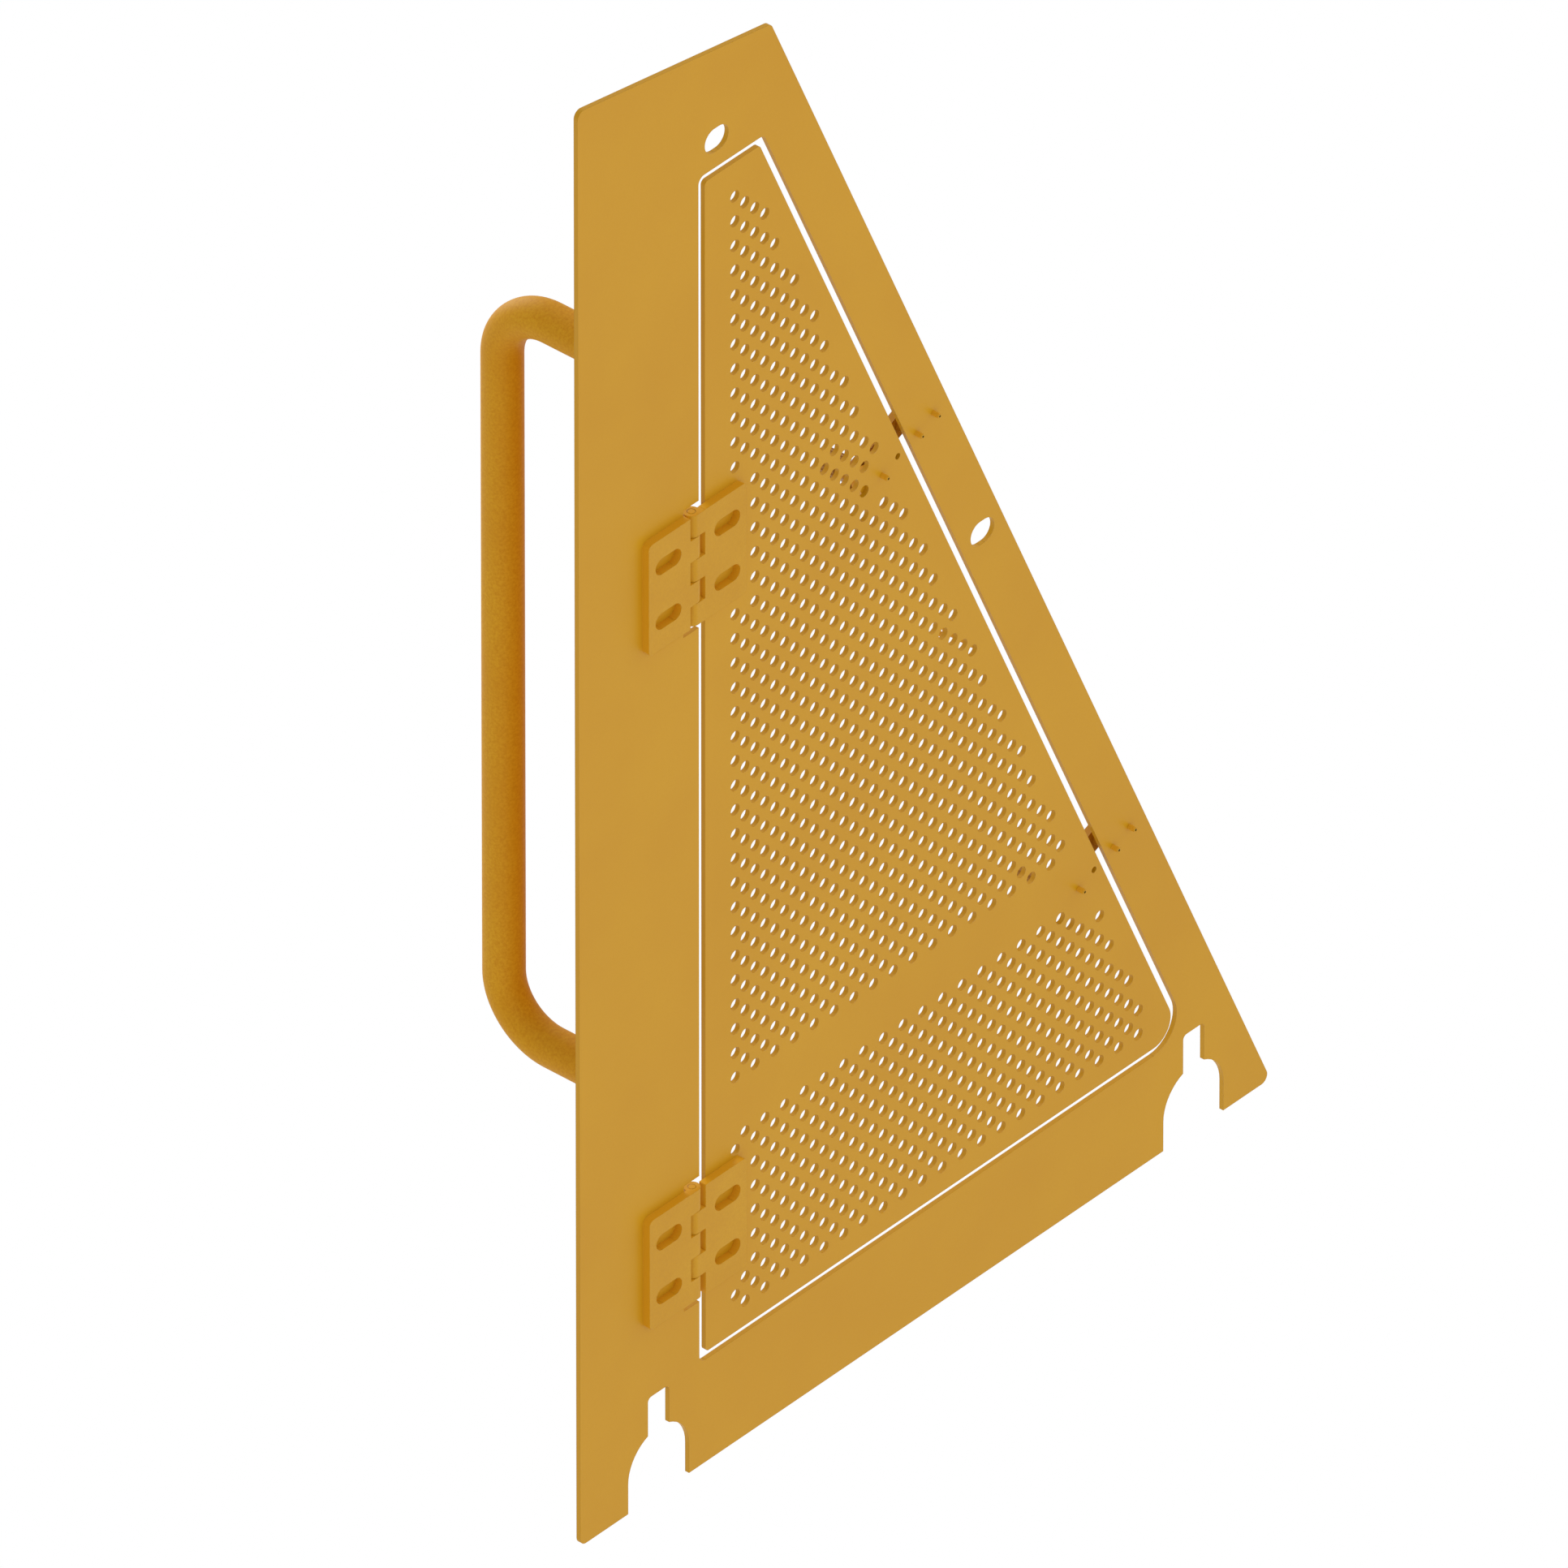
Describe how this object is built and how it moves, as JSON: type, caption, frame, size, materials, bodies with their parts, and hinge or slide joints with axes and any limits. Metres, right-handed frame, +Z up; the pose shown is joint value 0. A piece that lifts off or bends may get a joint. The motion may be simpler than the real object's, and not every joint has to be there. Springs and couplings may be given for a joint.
{
  "type": "machine guard side panel",
  "caption": "Flat sheet side panel with a sloping edge, a hinged perforated inspection door, magnetic catches and a welded tube grab handle.",
  "frame": {"origin": "middle of the panel's bottom edge, half way through the 3 mm sheet", "axes": "+X to the right along the bottom edge seen from the front, +Y to the back, +Z up"},
  "size_m": [0.5973, 0.1197, 1.0009],
  "materials": {
    "panel_paint": "yellow ochre powder coat, fine orange peel, satin",
    "door_paint": "yellow ochre powder coat, fine orange peel, satin",
    "handle_paint": "yellow ochre powder coat on drawn tube, glossier than the sheet",
    "weld_paint": "powder coat over a hand-run fillet weld",
    "leaf_paint": "powder coat on machined leaves, orange ochre",
    "fixing_steel": "zinc-plated steel screws, hexagon socket",
    "bare_steel": "turned steel pins, cups and rod, powder coated with the panel",
    "catch_bar_paint": "brown-ochre powder coat on flat bar",
    "spacer_steel": "turned steel tube, zinc plated",
    "strike_steel": "strip steel, powder coated with the door",
    "magnet_ceramic": "pressed ferrite, dark grey, matt",
    "knob_plastic": "moulded plastic, grooved, yellow ochre",
    "tip_paint": "steel screws, powder coated over the threads"
  },
  "bodies": {
    "frame": {"frame_plate": "panel_paint", "handle_tube": "handle_paint", "handle_weld_upper": "weld_paint", "handle_weld_lower": "weld_paint", "hinge_frame_screws": "fixing_steel", "hinge_frame_leaf_upper": "leaf_paint", "hinge_pin_upper": "bare_steel", "catch_bar_upper": "catch_bar_paint", "magnet_cup_upper": "bare_steel", "magnet_upper": "magnet_ceramic", "magnet_lock_nut_upper": "fixing_steel", "magnet_knob_upper": "knob_plastic", "catch_screws_upper": "tip_paint", "catch_spacers_upper": "spacer_steel", "hinge_frame_leaf_lower": "leaf_paint", "hinge_pin_lower": "bare_steel", "catch_bar_lower": "catch_bar_paint", "magnet_cup_lower": "bare_steel", "magnet_lower": "magnet_ceramic", "magnet_lock_nut_lower": "fixing_steel", "magnet_knob_lower": "knob_plastic", "catch_screws_lower": "tip_paint", "catch_spacers_lower": "spacer_steel"},
    "door": {"door_panel": "door_paint", "hinge_door_screws": "fixing_steel", "pull_eye": "bare_steel", "hinge_door_leaf_upper": "leaf_paint", "strike_plate_upper": "strike_steel", "strike_screw_upper": "tip_paint", "hinge_door_leaf_lower": "leaf_paint", "strike_plate_lower": "strike_steel", "strike_screw_lower": "tip_paint"}
  },
  "joints": [
    {"name": "door_swing", "type": "hinge", "parent": "frame", "child": "door", "pos_m": [-0.2036, -0.0015, 0.4], "axis": [0, 0, -1], "range_deg": [0, 100]}
  ]
}
